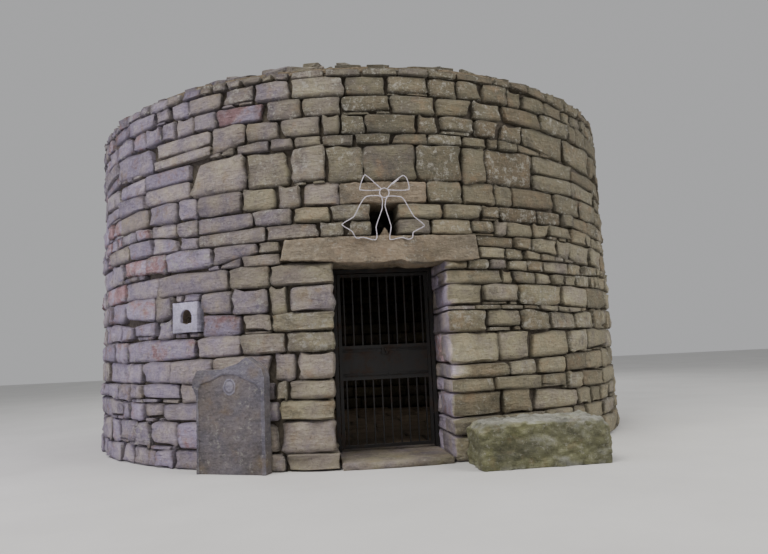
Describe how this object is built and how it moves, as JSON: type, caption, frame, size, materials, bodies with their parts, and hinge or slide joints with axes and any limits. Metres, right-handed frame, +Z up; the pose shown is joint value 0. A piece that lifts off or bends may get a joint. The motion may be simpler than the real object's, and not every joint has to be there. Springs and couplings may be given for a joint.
{
  "type": "shepherd hut",
  "caption": "Round dry-stone shepherd hut with a corbelled vault, a lintelled doorway, a vent over it and an iron gate that swings inwards.",
  "frame": {"origin": "the hut's vertical axis at ground level, under the floor", "axes": "+Z up, the doorway faces -Y, +X to the right of someone looking at the door"},
  "size_m": [6.68, 7.1224, 4.9025],
  "materials": {
    "wall_stone": "rough weathered limestone with lichen, dry joints",
    "lintel_stone": "rough-hewn limestone slab",
    "vault_stone": "rough flat limestone courses",
    "floor_stone": "worn limestone flags",
    "dressed_stone": "dressed pale limestone, weathered",
    "bench_stone": "rough limestone block with moss stains",
    "rubble_cover": "earth and small rubble",
    "iron": "old black paint over rusty iron",
    "wire": "white plastic-coated wire"
  },
  "bodies": {
    "root": {"back_lintel": "lintel_stone", "bench_stone": "bench_stone", "capstone": "vault_stone", "door_jamb_left": "wall_stone", "door_jamb_right": "wall_stone", "floor": "floor_stone", "front_lintel": "lintel_stone", "gate_head_bar": "iron", "gate_hinge_pins": "iron", "gate_posts": "iron", "lower_wall_1": "wall_stone", "lower_wall_2": "wall_stone", "lower_wall_3": "wall_stone", "lower_wall_4": "wall_stone", "lower_wall_5": "wall_stone", "lower_wall_6": "wall_stone", "marker_stone": "dressed_stone", "middle_lintel": "lintel_stone", "niche_stone": "dressed_stone", "roof_cover_1": "rubble_cover", "roof_cover_2": "rubble_cover", "roof_cover_3": "rubble_cover", "roof_cover_4": "rubble_cover", "threshold_stone": "floor_stone", "upper_wall_1": "wall_stone", "upper_wall_2": "wall_stone", "upper_wall_3": "wall_stone", "upper_wall_4": "wall_stone", "upper_wall_5": "wall_stone", "upper_wall_front": "wall_stone", "vault_crown_1": "vault_stone", "vault_crown_2": "vault_stone", "vault_crown_3": "vault_stone", "vault_crown_4": "vault_stone", "vent_head_stone": "lintel_stone", "vent_stone": "wall_stone", "vent_wall_left": "wall_stone", "vent_wall_right": "wall_stone", "wire_bells": "wire"},
    "gate": {"gate_leaf_frame": "iron", "gate_bars_lower": "iron", "gate_bars_upper": "iron", "gate_panel": "iron", "gate_lock": "iron", "gate_hinge_barrels": "iron"}
  },
  "joints": [
    {"name": "gate_hinge", "type": "hinge", "parent": "root", "child": "gate", "pos_m": [0.466, -2.576, 0.33], "axis": [0, 0, -1], "range_deg": [0, 90]}
  ]
}
